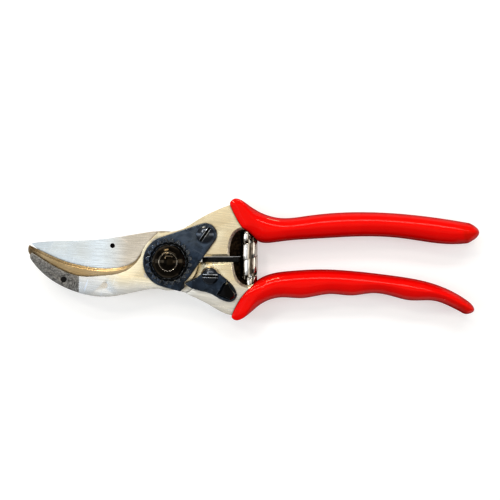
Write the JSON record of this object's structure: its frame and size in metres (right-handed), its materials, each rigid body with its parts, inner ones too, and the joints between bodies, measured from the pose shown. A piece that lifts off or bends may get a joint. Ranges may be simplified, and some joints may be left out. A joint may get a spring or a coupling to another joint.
{
  "type": "pruning shears",
  "caption": "Bypass pruning shears with forged aluminium handles in red dipped grips, a curved steel-lined hook, a sprung blade and a thumb catch.",
  "frame": {"origin": "on the pivot bolt's axis, on the surface the shears lie on, at the back face of the bolt head", "axes": "+X towards the ends of the grips, +Y towards the upper handle, +Z out of the nut's end of the pivot bolt"},
  "size_m": [0.215, 0.0576, 0.0204],
  "materials": {
    "forged_aluminium": "satin",
    "hardened_steel": "ground",
    "blade_steel": "polished",
    "rivet_steel": "satin",
    "red_coating": "gloss",
    "blued_steel": "burnished",
    "black_steel": "oiled",
    "spring_steel": "bright",
    "black_rubber": "matte"
  },
  "bodies": {
    "anvil_side": {"anvil_handle": "forged_aluminium", "anvil_blade": "hardened_steel", "anvil_blade_rivets": "rivet_steel", "upper_grip": "red_coating", "locking_plate": "blued_steel", "locking_plate_screw": "blued_steel", "centre_bolt": "black_steel", "toothed_nut": "black_steel", "spring_peg_upper": "rivet_steel", "return_spring": "spring_steel"},
    "blade_side": {"blade_handle": "forged_aluminium", "cutting_blade": "blade_steel", "blade_rivets": "rivet_steel", "lower_grip": "red_coating", "cushion": "black_rubber", "spring_peg_lower": "rivet_steel", "catch_screw": "blued_steel", "catch_spring_washer": "rivet_steel"},
    "catch": {"thumb_catch": "blued_steel"}
  },
  "joints": [
    {"name": "handle_pivot", "type": "hinge", "parent": "anvil_side", "child": "blade_side", "pos_m": [0, 0, 0], "axis": [0, 0, -1], "range_deg": [0, 32], "stiffness_Nm_per_rad": 1.2, "springref_deg": 48.7, "deforming": ["return_spring"]},
    {"name": "catch_pivot", "type": "hinge", "parent": "blade_side", "child": "catch", "pos_m": [0.0196, -0.0067, 0], "axis": [0, 0, 1], "range_deg": [0, 28]}
  ]
}
